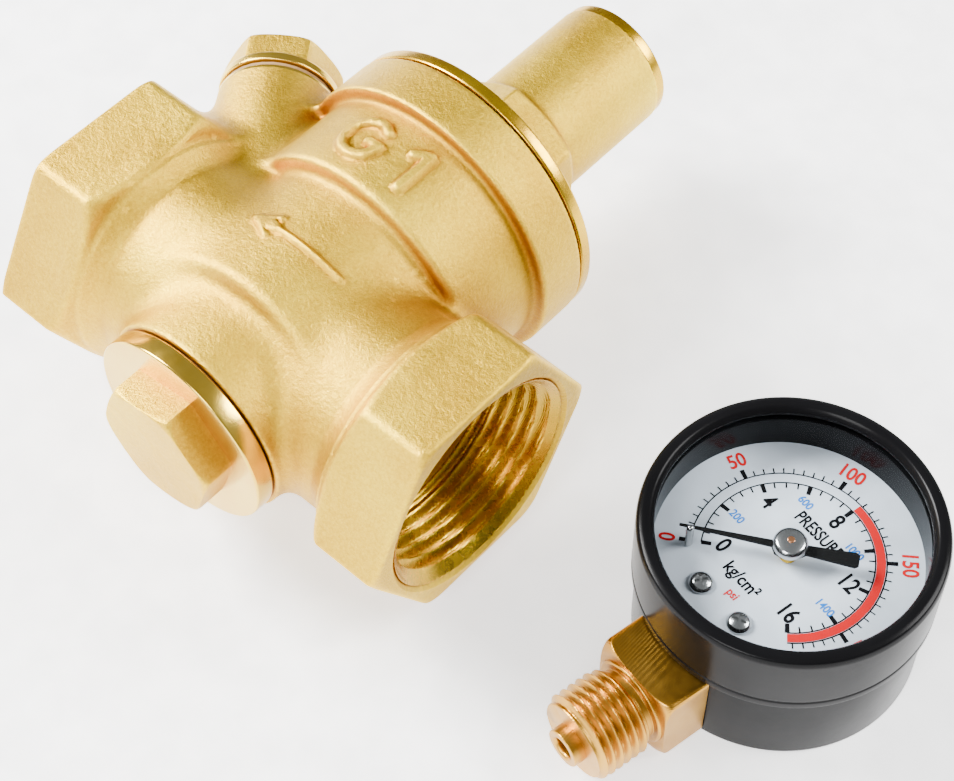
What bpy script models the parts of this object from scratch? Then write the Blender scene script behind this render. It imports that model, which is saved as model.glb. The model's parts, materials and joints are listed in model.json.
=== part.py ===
"""Brass water pressure regulator (inline, piston type) with its screw-in pressure gauge.

Metres, +Z up. The flow axis lies along X, with the inlet at +X and the outlet at -X.
The bonnet and its spring tube lie along +Y.
The regulator lies on its back and the gauge beside it, both on the plane Z = 0.
Driving dimensions are in millimetres and turned into metres where a mesh is made.
"""

import math

import bmesh
import bpy
from mathutils import Vector

MM = 0.001
GAP = 0.3  # between pieces that touch

# Inlet and outlet: hexagons for a 1 inch pipe thread (G1)
HEX_FLATS = 38.0
HEX_LENGTH = 12.6
FACE_TO_CENTRE = 37.3
THREAD_BORE_R = 15.15
SOCKET_DEPTH = 16.8
NECK_R = 16.5
POCKET_R = 12.5
PASSAGE_R = 7.3
PASSAGE_OFFSET = 7.0

# Body along the bonnet axis
BODY_BOTTOM = -18.1
BODY_TOP = 37.2
RING_R = 23.4
SIZE_RING_R = 21.3
BARREL_R = 18.9
BOTTOM_NECK_R = 16.0
SKIRT_POCKET_R = 20.6
SKIRT_POCKET_Y = 29.8
PISTON_BORE_R = 14.0
CHAMBER_R = 13.0
LOWER_CHAMBER_R = 12.3
PARTITION_TOP = 2.5
PARTITION_BOTTOM = -1.5
SEAT_HOLE_R = 9.3

# Bonnet
BONNET_FLANGE_TOP = 39.6
COLLAR_TOP = 50.2
COLLAR_FLATS = 21.6
TUBE_R = 10.2
TUBE_BORE_R = 8.0
TUBE_END = 72.7

# Bottom plug
PLUG_FLANGE_R = 15.4
PLUG_FLANGE_T = 3.0
PLUG_HEX_FLATS = 18.8
PLUG_HEX_H = 4.9
PLUG_HEX_TURN = 10.5

# Gauge port boss, in the corner between outlet and bonnet
BOSS_ANGLE = 36.3  # from the bonnet axis towards the outlet
BOSS_FOOT = (-11.7, 2.8, 1.4)
BOSS_END = 33.5
BOSS_R = 9.3
BOSS_ROOT_R = 10.4
PORT_BORE_R = 6.3
PORT_BORE_DEPTH = 9.5

# Pressure gauge: 40 mm dial, G1/4 stem
GAUGE_CENTRE = (73.9, 21.6)  # from the regulator's axes crossing
GAUGE_TURN = -11.0
BEZEL_R = 21.2
BEZEL_TOP = 27.0
BEZEL_BOTTOM = 14.8
LENS_OPENING_R = 18.6
CASE_R = 20.4
CASE_WALL = 0.8
CASE_TOP = 21.9
DIAL_Z = 18.0
DIAL_T = 0.6
DIAL_R = 19.2
STEM_Z = 7.4
STEM_BLOCK = 13.8
STEM_BLOCK_END = 26.6
TENON = 9.0  # square, through the back of the case
STEM_THREAD_R = 6.5785
STEM_TIP = 38.8
SWEEP = 264.0  # of the dial's scales
POINTER_REST = 3.0  # the pointer rests on its pin this far past zero
POINTER_Z = DIAL_Z + 2.8
HUB_R = 2.4
STOP_PIN_R = 0.55
PINION_TEETH = 10
SECTOR_TEETH = 70
MODULE = 0.25
SECTOR_ANGLE = 100.0  # direction from the pointer's axis to the sector's pivot

ALONG_X = (0, math.radians(90), 0)
ALONG_Y = (math.radians(-90), 0, 0)
ALONG_Z = (0, 0, 0)


def clear_scene():
    for obj in list(bpy.data.objects):
        bpy.data.objects.remove(obj)


def collection(name, hidden):
    made = bpy.data.collections.new(name)
    made.hide_render = hidden
    bpy.context.scene.collection.children.link(made)
    return made


def material(name, colour, roughness, metallic, alpha=1.0):
    made = bpy.data.materials.new(name)
    made.use_nodes = True
    shader = made.node_tree.nodes["Principled BSDF"]
    shader.inputs["Base Color"].default_value = (*colour, 1.0)
    shader.inputs["Roughness"].default_value = roughness
    shader.inputs["Metallic"].default_value = metallic
    shader.inputs["Alpha"].default_value = alpha
    return made


def empty(name, at, turn=0.0):
    made = bpy.data.objects.new(name, None)
    made.location = [value * MM for value in at]
    made.rotation_euler = (0, 0, math.radians(turn))
    PARTS.objects.link(made)
    return made


def add_object(name, data, finish, at, rotation, parent, cutter=False):
    """Links data as an object: a sub-part with its material, or a cutter that only a Boolean sees."""
    made = bpy.data.objects.new(name, data)
    (CUTTERS if cutter else PARTS).objects.link(made)
    made.location = [value * MM for value in at]
    made.rotation_euler = rotation
    made.parent = parent
    if cutter:
        made.hide_render = True
        made.display_type = "WIRE"
    else:
        data.materials.append(finish)
    return made


def turned(name, profile, finish=None, at=(0, 0, 0), rotation=ALONG_Z, parent=None, steps=36, cutter=False):
    """A turned shape. Its (radius, height) points run down the outer side, then up any bore."""
    mesh = bpy.data.meshes.new(name)
    shape = bmesh.new()
    points = [shape.verts.new((radius * MM, 0, height * MM)) for radius, height in profile]
    for first, second in zip(points, points[1:]):
        shape.edges.new((first, second))
    if profile[0][0] > 0:
        shape.edges.new((points[-1], points[0]))
    shape.to_mesh(mesh)
    shape.free()
    made = add_object(name, mesh, finish, at, rotation, parent, cutter)
    screw = made.modifiers.new("Screw", "SCREW")
    screw.axis = "Z"
    screw.steps = steps
    screw.render_steps = steps
    screw.use_merge_vertices = True
    screw.merge_threshold = 1e-6
    screw.use_smooth_shade = True
    return made


def rod(radius, top, bottom):
    return [(0, top), (radius, top), (radius, bottom), (0, bottom)]


def ring(outer, inner, top, bottom, edge=0.0):
    """A ring's section, its outer edges chamfered by edge."""
    if not edge:
        return [(outer, top), (outer, bottom), (inner, bottom), (inner, top)]
    return [
        (outer - edge, top),
        (outer, top - edge),
        (outer, bottom + edge),
        (outer - edge, bottom),
        (inner, bottom),
        (inner, top),
    ]


def prism(name, flats, bottom, top, finish=None, at=(0, 0, 0), rotation=ALONG_Z, parent=None, turn=0.0,
          sides=6, cutter=False):
    """A regular prism about local Z, measured across its flats, a corner at angle turn."""
    mesh = bpy.data.meshes.new(name)
    shape = bmesh.new()
    radius = flats / 2 / math.cos(math.pi / sides)
    bmesh.ops.create_cone(
        shape, cap_ends=True, segments=sides, radius1=radius * MM, radius2=radius * MM,
        depth=(top - bottom) * MM
    )
    bmesh.ops.translate(shape, verts=shape.verts, vec=(0, 0, (top + bottom) / 2 * MM))
    first = max(shape.verts, key=lambda vert: vert.co.x).co
    spin = math.radians(turn) - math.atan2(first.y, first.x)
    for vert in shape.verts:
        x, y = vert.co.x, vert.co.y
        vert.co.x = x * math.cos(spin) - y * math.sin(spin)
        vert.co.y = x * math.sin(spin) + y * math.cos(spin)
    shape.to_mesh(mesh)
    shape.free()
    return add_object(name, mesh, finish, at, rotation, parent, cutter)


def box(name, low, high, finish=None, parent=None, cutter=False, bevel=0.0):
    mesh = bpy.data.meshes.new(name)
    shape = bmesh.new()
    bmesh.ops.create_cube(shape, size=1.0)
    size = [(b - a) * MM for a, b in zip(low, high)]
    bmesh.ops.scale(shape, vec=size, verts=shape.verts)
    shape.to_mesh(mesh)
    shape.free()
    centre = [(a + b) / 2 for a, b in zip(low, high)]
    made = add_object(name, mesh, finish, centre, ALONG_Z, parent, cutter)
    if bevel:
        soften(made, bevel)
    return made


def plate(name, outline, bottom, top, finish=None, parent=None, cutter=False, at=(0, 0), turn=0.0):
    """A flat outline in local XY, as thick as top - bottom."""
    curve = bpy.data.curves.new(name, "CURVE")
    curve.dimensions = "2D"
    curve.fill_mode = "BOTH"
    curve.extrude = (top - bottom) / 2 * MM
    spline = curve.splines.new("POLY")
    spline.points.add(len(outline) - 1)
    for point, (x, y) in zip(spline.points, outline):
        point.co = (x * MM, y * MM, 0, 1)
    spline.use_cyclic_u = True
    guide = bpy.data.objects.new(name + "_outline", curve)
    PARTS.objects.link(guide)
    bpy.context.view_layer.update()
    mesh = bpy.data.meshes.new_from_object(guide.evaluated_get(bpy.context.evaluated_depsgraph_get()))
    bpy.data.objects.remove(guide)
    shape = bmesh.new()
    shape.from_mesh(mesh)
    bmesh.ops.remove_doubles(shape, verts=shape.verts, dist=1e-7)
    bmesh.ops.recalc_face_normals(shape, faces=shape.faces)
    shape.to_mesh(mesh)
    shape.free()
    mesh.name = name
    return add_object(
        name, mesh, finish, (*at, (top + bottom) / 2), (0, 0, math.radians(turn)), parent, cutter
    )


def wire(name, points, radius, finish, at, rotation, parent, stretch=1.0):
    """A round wire along points; stretch makes its section taller along local Z."""
    curve = bpy.data.curves.new(name, "CURVE")
    curve.dimensions = "3D"
    curve.bevel_depth = radius * MM
    curve.bevel_resolution = 2
    curve.use_fill_caps = True
    spline = curve.splines.new("POLY")
    spline.points.add(len(points) - 1)
    for point, (x, y, z) in zip(spline.points, points):
        point.co = (x * MM, y * MM, z * MM, 1)
    made = add_object(name, curve, finish, at, rotation, parent)
    made.scale.z = stretch
    return made


def soften(obj, width, segments=1):
    bevel = obj.modifiers.new("Bevel", "BEVEL")
    bevel.width = width * MM
    bevel.segments = segments
    bevel.limit_method = "ANGLE"
    bevel.angle_limit = math.radians(40)


def boolean(obj, operation, *others):
    for other in others:
        step = obj.modifiers.new(f"{operation.title()} {other.name}", "BOOLEAN")
        step.operation = operation
        step.object = other


def polar(radius, degrees):
    return radius * math.cos(math.radians(degrees)), radius * math.sin(math.radians(degrees))


def boss_frame():
    """Position and rotation that put local Z along the gauge port's axis, its origin at the boss's foot."""
    direction = Vector((*polar(1, 90 + BOSS_ANGLE), 0))
    return BOSS_FOOT, direction.to_track_quat("Z", "Y").to_euler()


def chamfered_hex(
    name, flats, bottom, top, edge, finish, at, rotation, parent, turn, low_edge=0.0, cutter=False
):
    """A wrench hexagon whose corners are turned off at the top, and at the bottom too if low_edge is set."""
    corner = flats / 2 / math.cos(math.radians(30))
    made = prism(name, flats, bottom, top, finish, at, rotation, parent, turn, cutter=cutter)
    cone = [(0, top + 0.2), (corner - edge, top + 0.2), (corner + 0.6, top - edge * 0.6 - 0.2)]
    if low_edge:
        cone += [(corner + 0.6, bottom + low_edge * 0.6 + 0.2), (corner - low_edge, bottom - 0.2), (0, bottom - 0.2)]
    else:
        cone += [(corner + 0.6, bottom - 0.2), (0, bottom - 0.2)]
    boolean(
        made, "INTERSECT",
        turned(name + "_turning", cone, at=at, rotation=rotation, parent=parent, steps=48, cutter=True)
    )
    return made


def valve_body(origin, brass):
    outside = [
        (0, BODY_TOP),
        (RING_R - 0.5, BODY_TOP),
        (RING_R, BODY_TOP - 0.5),
        (RING_R, 29.4),
        (RING_R - 0.5, 28.8),
        (SIZE_RING_R + 0.2, 28.6),
        (SIZE_RING_R - 0.2, 15.5),
        (BARREL_R + 0.2, 13.1),
        (BARREL_R - 0.1, -5.6),
        (BOTTOM_NECK_R, -7.9),
        (BOTTOM_NECK_R - 0.3, BODY_BOTTOM),
        (0, BODY_BOTTOM),
    ]
    body = turned("valve_body", outside, brass, rotation=ALONG_Y, parent=origin, steps=56)
    reach = FACE_TO_CENTRE - HEX_LENGTH
    neck = [
        (0, reach + 2),
        (NECK_R + 1.6, reach + 2),
        (NECK_R + 1.6, reach - 1.2),
        (NECK_R, reach - 4),
        (NECK_R, 4 - reach),
        (NECK_R + 1.6, 1.2 - reach),
        (NECK_R + 1.6, -reach - 2),
        (0, -reach - 2),
    ]
    boolean(body, "UNION", turned("neck", neck, rotation=ALONG_X, parent=origin, steps=48, cutter=True))
    for side, turn in (("inlet", 0), ("outlet", 180)):
        rotation = (0, math.radians(90 + turn), 0)
        shape = chamfered_hex(
            side + "_hex", HEX_FLATS, reach, FACE_TO_CENTRE, 0.9, None, (0, 0, 0), rotation, origin, 90,
            2.0, True
        )
        boolean(body, "UNION", shape)
    at, along = boss_frame()
    boss = [(0, BOSS_END), (BOSS_R, BOSS_END), (BOSS_ROOT_R, 6), (0, 6)]
    boolean(
        body, "UNION", turned("boss", boss, at=at, rotation=along, parent=origin, steps=32, cutter=True)
    )
    bores = [
        (0, BODY_TOP + 1),
        (SKIRT_POCKET_R, BODY_TOP + 1),
        (SKIRT_POCKET_R, SKIRT_POCKET_Y),
        (PISTON_BORE_R, SKIRT_POCKET_Y),
        (PISTON_BORE_R, 14.5),
        (CHAMBER_R, 14.5),
        (CHAMBER_R, PARTITION_TOP),
        (SEAT_HOLE_R, PARTITION_TOP),
        (SEAT_HOLE_R, PARTITION_BOTTOM),
        (LOWER_CHAMBER_R, PARTITION_BOTTOM),
        (LOWER_CHAMBER_R, -16.7),
        (14.6, -16.7),
        (14.6, BODY_BOTTOM - 1),
        (0, BODY_BOTTOM - 1),
    ]
    boolean(
        body, "DIFFERENCE",
        turned("bonnet_bores", bores, rotation=ALONG_Y, parent=origin, steps=48, cutter=True)
    )
    socket_end = FACE_TO_CENTRE - SOCKET_DEPTH
    socket = [
        (0, FACE_TO_CENTRE + 1),
        (THREAD_BORE_R + 2.6, FACE_TO_CENTRE + 1),
        (THREAD_BORE_R, FACE_TO_CENTRE - 1.6),
        (THREAD_BORE_R, socket_end),
        (POCKET_R, socket_end - 1),
        (POCKET_R, 15.6),
        (0, 15.6),
    ]
    for side, turn, inner in (("inlet", 0, 9.0), ("outlet", 180, 11.0)):
        rotation = (0, math.radians(90 + turn), 0)
        boolean(
            body, "DIFFERENCE",
            turned(side + "_socket", socket, rotation=rotation, parent=origin, steps=48, cutter=True)
        )
        offset = -PASSAGE_OFFSET if side == "inlet" else PASSAGE_OFFSET
        passage = turned(
            side + "_passage", rod(PASSAGE_R, 17, inner), at=(0, offset, 0), rotation=rotation,
            parent=origin,
            steps=24, cutter=True,
        )
        boolean(body, "DIFFERENCE", passage)
    bore = rod(PORT_BORE_R, BOSS_END + 1, BOSS_END - PORT_BORE_DEPTH)
    tap = rod(1.6, BOSS_END - PORT_BORE_DEPTH + 1, 9)
    for name, profile in (("port_bore", bore), ("port_tap", tap)):
        cut = turned(name, profile, at=at, rotation=along, parent=origin, steps=24, cutter=True)
        boolean(body, "DIFFERENCE", cut)
    return body


def bonnet(origin, brass):
    flange = BODY_TOP + GAP
    outside = [
        (0, TUBE_END),
        (TUBE_R - 0.4, TUBE_END),
        (TUBE_R, TUBE_END - 0.4),
        (TUBE_R, 42),
        (RING_R - 2, BONNET_FLANGE_TOP + 0.5),
        (RING_R - 0.6, BONNET_FLANGE_TOP),
        (RING_R - 0.1, BONNET_FLANGE_TOP - 0.5),
        (RING_R - 0.1, flange),
        (SKIRT_POCKET_R - GAP, flange),
        (SKIRT_POCKET_R - GAP, SKIRT_POCKET_Y + 1.8),
        (0, SKIRT_POCKET_Y + 1.8),
    ]
    made = turned("bonnet", outside, brass, rotation=ALONG_Y, parent=origin)
    collar = chamfered_hex(
        "collar", COLLAR_FLATS, BONNET_FLANGE_TOP - 0.5, COLLAR_TOP, 1.4, None, (0, 0, 0), ALONG_Y, origin,
        90,
        cutter=True,
    )
    inside = [
        (0, TUBE_END + 1),
        (TUBE_BORE_R, TUBE_END + 1),
        (TUBE_BORE_R, 41),
        (PISTON_BORE_R + 1, 37),
        (PISTON_BORE_R + 1, SKIRT_POCKET_Y - 1),
        (0, SKIRT_POCKET_Y - 1),
    ]
    boolean(made, "UNION", collar)
    boolean(
        made, "DIFFERENCE", turned("bonnet_inside", inside, rotation=ALONG_Y, parent=origin, cutter=True)
    )
    turned(
        "bonnet_seal", ring(
            SKIRT_POCKET_R - GAP, PISTON_BORE_R + 2, SKIRT_POCKET_Y + 1.5, SKIRT_POCKET_Y + GAP, 0.3
        ),
        RUBBER, rotation=ALONG_Y, parent=origin,
    )


def adjuster(origin, brass, steel):
    """Threaded adjusting screw with a hexagon socket, the spring seat it pushes, and the spring."""
    screw = turned(
        "adjusting_screw",
        [(0, 66.6), (6.9, 66.6), (TUBE_BORE_R - GAP, 65.8), (TUBE_BORE_R - GAP, 60.6), (0, 60.6)],
        brass, rotation=ALONG_Y, parent=origin, steps=32,
    )
    key = prism("adjusting_key_socket", 8.0, 62.4, 67.6, rotation=ALONG_Y, parent=origin, cutter=True)
    boolean(screw, "DIFFERENCE", key)
    turned(
        "spring_seat",
        [(0, 60.3), (7.4, 60.3), (7.4, 58.3), (4.6, 58.3), (4.2, 56.0), (0, 56.0)],
        steel, rotation=ALONG_Y, parent=origin, steps=32,
    )
    wire_r, coil_r, turns, per_turn = 0.8, 6.0, 7, 10
    low, high = 24.6 + wire_r, 58.0 - wire_r
    count = int(turns * per_turn)
    points = []
    for i in range(count + 1):
        share = i / count
        closed = min(max((share * turns - 0.75) / (turns - 1.5), 0), 1)
        height = low + wire_r * 2.1 * (min(share * turns, 0.75) + max(share * turns - turns + 0.75, 0))
        height += (high - low - wire_r * 2.1 * 1.5) * closed
        points.append((*polar(coil_r, 360 * share * turns), height))
    wire("main_spring", points, wire_r, steel, (0, 0, 0), ALONG_Y, origin)


def piston_group(origin, brass, steel):
    piston = [
        (0, 24.0),
        (4.6, 24.0),
        (4.6, 24.2),
        (8.6, 24.2),
        (8.6, 27.0),
        (PISTON_BORE_R - GAP, 27.0),
        (PISTON_BORE_R - GAP, 24.4),
        (12.0, 24.4),
        (12.0, 21.6),
        (PISTON_BORE_R - GAP, 21.6),
        (PISTON_BORE_R - GAP, 18.4),
        (8.0, 17.8),
        (2.8, 17.8),
        (2.8, 20.8),
        (0, 20.8),
    ]
    turned("piston", piston, brass, rotation=ALONG_Y, parent=origin, steps=28)
    seal_r, groove = 1.0, 23.0
    section = [(12.0 + GAP + seal_r * 0.68 + seal_r * 0.68 * math.cos(-a * math.pi / 4 + math.pi / 2),
                groove + seal_r * math.sin(-a * math.pi / 4 + math.pi / 2)) for a in range(8)]
    turned("piston_o_ring", section, RUBBER, rotation=ALONG_Y, parent=origin, steps=32)
    turned("valve_stem", rod(2.4, 20.5, -13.6), steel, rotation=ALONG_Y, parent=origin, steps=20)
    prism("stem_lock_nut", 7.0, 14.8, 17.5, brass, rotation=ALONG_Y, parent=origin)
    cut = turned(
        "stem_lock_nut_bore", rod(2.7, 18.5, 13.8), rotation=ALONG_Y, parent=origin, steps=20, cutter=True
    )
    boolean(bpy.data.objects["stem_lock_nut"], "DIFFERENCE", cut)
    turned(
        "poppet_disc", ring(8.4, 2.7, -5.6, -7.8, 0.2), RUBBER, rotation=ALONG_Y, parent=origin, steps=32
    )
    holder = [(9.6, -6.8), (9.6, -10.2), (2.7, -10.2), (2.7, -8.1), (8.7, -8.1), (8.7, -6.8)]
    turned("poppet_holder", holder, brass, rotation=ALONG_Y, parent=origin, steps=32)
    prism("stem_end_nut", 7.0, -13.0, -10.5, brass, rotation=ALONG_Y, parent=origin)
    cut = turned(
        "stem_end_nut_bore", rod(2.7, -9.5, -14), rotation=ALONG_Y, parent=origin, steps=20, cutter=True
    )
    boolean(bpy.data.objects["stem_end_nut"], "DIFFERENCE", cut)
    seat = [(SEAT_HOLE_R - GAP, 3.6), (SEAT_HOLE_R - GAP, -1.7), (7.4, -2.8), (6.5, -2.8), (6.5, 3.6)]
    turned("valve_seat", seat, steel, rotation=ALONG_Y, parent=origin, steps=32)


def bottom_plug(origin, brass):
    top = BODY_BOTTOM - GAP
    face = top - PLUG_FLANGE_T
    outside = [
        (0, -14.6),
        (11.2, -14.6),
        (LOWER_CHAMBER_R - GAP, -15.4),
        (LOWER_CHAMBER_R - GAP, top),
        (PLUG_FLANGE_R - 0.3, top),
        (PLUG_FLANGE_R, top - 0.3),
        (PLUG_FLANGE_R, face + 0.4),
        (PLUG_FLANGE_R - 0.4, face),
        (0, face),
    ]
    made = turned("bottom_plug", outside, brass, rotation=ALONG_Y, parent=origin)
    head = chamfered_hex(
        "bottom_plug_head", PLUG_HEX_FLATS, -(face + 0.5), PLUG_HEX_H - face, 1.0, None, (0, 0, 0),
        (math.radians(90), 0, 0), origin, PLUG_HEX_TURN, cutter=True,
    )
    boolean(made, "UNION", head)
    turned(
        "bottom_plug_gasket", ring(14.3, LOWER_CHAMBER_R + GAP, -17.0, BODY_BOTTOM - 0.02, 0.1), FIBRE,
        rotation=ALONG_Y, parent=origin,
    )


def port_plug(origin, brass):
    at, along = boss_frame()
    seat = BOSS_END + 1.1
    outside = [
        (0, seat + 1.9),
        (8.9, seat + 1.9),
        (9.4, seat + 1.3),
        (9.4, seat),
        (PORT_BORE_R - GAP, seat),
        (PORT_BORE_R - GAP, BOSS_END - 7.4),
        (5.2, BOSS_END - 8.2),
        (0, BOSS_END - 8.2),
    ]
    made = turned("gauge_port_plug", outside, brass, at, along, origin, 32)
    head = chamfered_hex(
        "port_plug_head", 16.4, seat + 1.5, seat + 6.2, 1.2, None, at, along, origin, 0, cutter=True
    )
    boolean(made, "UNION", head)
    gasket = ring(9.0, PORT_BORE_R + GAP, BOSS_END + 0.8, BOSS_END + GAP)
    turned("gauge_port_gasket", gasket, FIBRE, at, along, origin, 32)


def gauge_case(origin, black):
    case = [
        (0, CASE_WALL),
        (CASE_R - CASE_WALL, CASE_WALL),
        (CASE_R - CASE_WALL, CASE_TOP),
        (CASE_R, CASE_TOP),
        (CASE_R, 0.7),
        (CASE_R - 0.7, 0),
        (0, 0),
    ]
    made = turned("gauge_case", case, black, parent=origin, steps=44)
    hole_half = TENON / 2 + GAP
    hole = box(
        "case_socket_hole",
        (-hole_half, -24, STEM_Z - hole_half),
        (hole_half, -17, STEM_Z + hole_half),
        parent=origin,
        cutter=True,
    )
    boolean(made, "DIFFERENCE", hole)
    bezel = [
        (LENS_OPENING_R + 0.5, BEZEL_TOP),
        (BEZEL_R - 1.0, BEZEL_TOP),
        (BEZEL_R - 0.3, BEZEL_TOP - 0.35),
        (BEZEL_R, BEZEL_TOP - 1.1),
        (BEZEL_R, BEZEL_BOTTOM),
        (CASE_R + GAP, BEZEL_BOTTOM),
        (CASE_R + GAP, BEZEL_TOP - 1.0),
        (LENS_OPENING_R, BEZEL_TOP - 1.0),
        (LENS_OPENING_R, BEZEL_TOP - 0.4),
    ]
    turned("gauge_bezel", bezel, black, parent=origin, steps=44)
    turned(
        "gauge_lens", rod(CASE_R - 0.1, BEZEL_TOP - 1.3, BEZEL_TOP - 2.5), GLASS, parent=origin, steps=28
    )
    turned(
        "lens_gasket", ring(CASE_R - 0.1, 18.9, BEZEL_TOP - 2.8, CASE_TOP + GAP), RUBBER, parent=origin,
        steps=28
    )


def gauge_dial(origin, white, steel):
    dial = turned("gauge_dial", ring(DIAL_R, 1.0, DIAL_Z + DIAL_T, DIAL_Z), white, parent=origin, steps=36)
    for number, side in enumerate((-1, 1), 1):
        spot = (*polar(12.8, -90 + 17.7 * side), 0)
        head = DIAL_Z + DIAL_T + GAP
        boolean(dial, "DIFFERENCE", turned(
            f"dial_screw_hole_{number}", rod(1.3, DIAL_Z + 2, DIAL_Z - 1), at=spot, parent=origin, steps=16,
            cutter=True
        ))
        tip = STEM_Z + TENON / 2 + GAP
        profile = [
            (0, head + 0.9),
            (1.0, head + 0.85),
            (1.6, head + 0.45),
            (1.7, head),
            (0.9, head),
            (0.9, tip),
            (0, tip),
        ]
        turned(f"dial_screw_{number}", profile, steel, spot, parent=origin, steps=20)
    pin = (*polar(13.6, -90 - (360 - SWEEP) / 2 + 2.4), 0)
    top = DIAL_Z + DIAL_T
    turned("stop_pin", rod(STOP_PIN_R, top + 4.5, top + GAP), steel, pin, parent=origin, steps=12)


def gear_outline(teeth, first, count, tip, root):
    """Flanks of count teeth from number first."""
    pitch_r = MODULE * teeth / 2
    base_r = pitch_r * math.cos(math.radians(20))
    step = 2 * math.pi / teeth
    half = step * 0.225
    involute = math.tan(math.radians(20)) - math.radians(20)

    def flank(radius):
        lean = math.acos(min(base_r / radius, 1))
        return half + involute - (math.tan(lean) - lean)

    radii = [root, max(base_r, root + 0.01), (base_r + tip) / 2, tip]
    points = []
    for i in range(count):
        centre = (first + i) * step
        points += [(r, centre - flank(max(r, base_r))) for r in radii]
        points += [(r, centre + flank(max(r, base_r))) for r in reversed(radii)]
    return [(r * math.cos(a), r * math.sin(a)) for r, a in points]


def gauge_movement(origin, brass, steel, black):
    """Pinion, sector, hairspring, plates and link between the tube's tip and the pointer."""
    pinion_r = MODULE * PINION_TEETH / 2
    distance = MODULE * (PINION_TEETH + SECTOR_TEETH) / 2
    pivot = polar(distance, SECTOR_ANGLE)
    gear_low, gear_high = 8.2, 9.6
    outline = gear_outline(PINION_TEETH, 0, PINION_TEETH, pinion_r + 0.8 * MODULE, pinion_r - 1.1 * MODULE)
    # Half a tooth of turn puts a gap of the pinion opposite the sector's middle tooth.
    pinion = plate(
        "pinion_arbor", outline, gear_low, gear_high, brass, origin, turn=SECTOR_ANGLE + 180 / PINION_TEETH
    )
    collar = DIAL_Z + DIAL_T + GAP
    shaft = [(0, POINTER_Z - GAP), (1.3, POINTER_Z - GAP), (1.3, collar), (0.6, collar), (0.6, 4.6), (0, 4.6)]
    boolean(pinion, "UNION", turned("pinion_shaft", shaft, parent=origin, steps=16, cutter=True))
    sector_r = distance - pinion_r
    # Tooth 0 meshes at rest, and the sector turns so that the teeth numbered below it follow.
    count = math.ceil(SWEEP / 360 * PINION_TEETH) + 4
    teeth = gear_outline(SECTOR_TEETH, 2 - count, count, sector_r + 0.8 * MODULE, sector_r - 1.1 * MODULE)
    sector = plate(
        "sector_gear", [(0, 0)] + teeth, gear_low, gear_high, brass, origin, at=pivot,
        turn=SECTOR_ANGLE + 180
    )
    tail_angle = 185.0
    tail_end = polar(4.6, tail_angle)
    hub = turned(
        "sector_hub", rod(1.5, gear_high, gear_low), at=(*pivot, 0), parent=origin, steps=20, cutter=True
    )
    side = polar(0.8, tail_angle + 90)
    arm = [
        (-side[0], -side[1]),
        (tail_end[0] - side[0], tail_end[1] - side[1]),
        (tail_end[0] + side[0], tail_end[1] + side[1]),
        side,
    ]
    tail = plate(
        "sector_tail", arm, gear_low + 0.05, gear_high - 0.05, parent=origin, at=pivot, cutter=True
    )
    boolean(sector, "UNION", hub, tail)
    hole = turned(
        "sector_hole", rod(0.9, gear_high + 1, gear_low - 1), at=(*pivot, 0), parent=origin, steps=16,
        cutter=True
    )
    boolean(sector, "DIFFERENCE", hole)
    turned("sector_arbor", rod(0.6, 11.9, 6.1), steel, (*pivot, 0), parent=origin, steps=14)
    pin_at = (pivot[0] + tail_end[0] * 0.86, pivot[1] + tail_end[1] * 0.86)
    turned("link_pin", rod(0.35, gear_low - GAP, 5.9), steel, (*pin_at, 0), parent=origin, steps=12)
    link_to = polar(12.2, 178)
    along = math.atan2(link_to[1] - pin_at[1], link_to[0] - pin_at[0])
    length = math.hypot(link_to[0] - pin_at[0], link_to[1] - pin_at[1])
    bar = [(-1.0, -0.7), (length, -0.7), (length + 0.6, 0), (length, 0.7), (-1.0, 0.7)]
    link = plate("link", bar, 6.6, 7.2, brass, origin, at=pin_at, turn=math.degrees(along))
    hole = turned("link_hole", rod(0.65, 9, 5), at=(*pin_at, 0), parent=origin, steps=12, cutter=True)
    boolean(link, "DIFFERENCE", hole)
    edge = [(-5.6, -8.0), (5.6, -8.0), (5.6, 11.6), (-5.6, 11.6)]
    for name, low in (("movement_back_plate", 5.0), ("movement_front_plate", 12.2)):
        flat = plate(name, edge, low, low + 0.8, brass, origin)
        hole = turned(name + "_hole", rod(0.9, low + 2, low - 1), parent=origin, steps=16, cutter=True)
        boolean(flat, "DIFFERENCE", hole)
    for number, x in enumerate((-4.4, 4.4), 1):
        turned(
            f"movement_pillar_{number}", rod(0.9, 11.9, 6.1), brass, (x, -6.8, 0), parent=origin, steps=14
        )
        head = [(0, 14.2), (1.2, 14.2), (1.4, 13.3), (0, 13.3)]
        turned(f"movement_screw_{number}", head, steel, (x, -6.8, 0), parent=origin, steps=14)
    coil = [(*polar(1.3 + 0.9 * i / 10, 360 * i / 10), 0) for i in range(2 * 10 + 6)]
    wire("hairspring", coil, 0.15, steel, (0, 0, 10.9), ALONG_Z, origin)
    needle(origin, black, steel)


def needle(origin, black, steel):
    rest = -90 - (360 - SWEEP) / 2 - POINTER_REST
    half = [(15.2, 0.12), (2.4, 0.5), (1.9, 1.5), (0.6, 2.0), (-1.6, 1.4), (-2.4, 0.75), (-9.0, 1.15), (-9.5, 0.8)]
    outline = half + [(x, -y) for x, y in reversed(half)]
    plate("pointer", outline, POINTER_Z, POINTER_Z + 0.4, black, origin, turn=rest)
    base = POINTER_Z + 0.4 + GAP
    hub = [(0, base + 1.6), (HUB_R - 0.9, base + 1.5), (HUB_R - 0.1, base + 1.0), (HUB_R, base), (0, base)]
    turned("pointer_hub", hub, steel, parent=origin, steps=24)


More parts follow.
